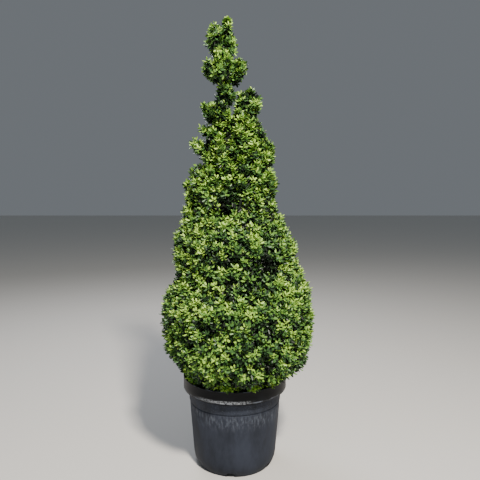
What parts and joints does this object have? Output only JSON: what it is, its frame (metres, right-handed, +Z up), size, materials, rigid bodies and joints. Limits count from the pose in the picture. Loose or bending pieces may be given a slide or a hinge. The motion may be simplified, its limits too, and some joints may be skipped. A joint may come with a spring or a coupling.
{
  "type": "potted japanese holly",
  "caption": "Potted Japanese holly: a loose evergreen cone of small glossy leaves grown round one leader, in a round black nursery pot.",
  "frame": {"origin": "middle of the pot's flat underside", "axes": "+Z up along the pot's axis, and the pictured side faces -Y"},
  "size_m": [0.7246, 0.722, 2.104],
  "materials": {
    "pot": "matte blow-moulded plastic, dusty, scuffed on the collar",
    "soil": "damp peat and bark, matte",
    "bark": "smooth grey-brown bark, matte",
    "foliage": "small glossy leaves, yellow-green at the shoot tips and dark green inside"
  },
  "bodies": {
    "root": {"pot": "pot", "soil": "soil", "trunk": "bark", "bough_skirt_1": "bark", "bough_skirt_2": "bark", "bough_skirt_3": "bark", "bough_skirt_4": "bark", "bough_skirt_5": "bark", "bough_skirt_6": "bark", "bough_belly_1": "bark", "bough_belly_2": "bark", "bough_belly_3": "bark", "bough_belly_4": "bark", "bough_belly_5": "bark", "bough_waist_1": "bark", "bough_waist_2": "bark", "bough_waist_3": "bark", "bough_waist_4": "bark", "bough_shoulder_1": "bark", "bough_shoulder_2": "bark", "bough_shoulder_3": "bark", "bough_wing_left": "bark", "bough_wing_right": "bark", "bough_wing_front": "bark", "bough_wing_back": "bark", "bough_leader_left": "bark", "bough_leader_right": "bark", "foliage_skirt_1": "foliage", "foliage_skirt_2": "foliage", "foliage_skirt_3": "foliage", "foliage_skirt_4": "foliage", "foliage_skirt_5": "foliage", "foliage_skirt_6": "foliage", "foliage_belly_1": "foliage", "foliage_belly_2": "foliage", "foliage_belly_3": "foliage", "foliage_belly_4": "foliage", "foliage_belly_5": "foliage", "foliage_waist_1": "foliage", "foliage_waist_2": "foliage", "foliage_waist_3": "foliage", "foliage_waist_4": "foliage", "foliage_shoulder_1": "foliage", "foliage_shoulder_2": "foliage", "foliage_shoulder_3": "foliage", "foliage_wing_left": "foliage", "foliage_wing_right": "foliage", "foliage_wing_front": "foliage", "foliage_wing_back": "foliage", "foliage_neck_front": "foliage", "foliage_neck_back": "foliage", "foliage_leader_left": "foliage", "foliage_leader_right": "foliage", "foliage_leader_front": "foliage", "foliage_leader_back": "foliage", "foliage_leader_top": "foliage"}
  },
  "joints": []
}
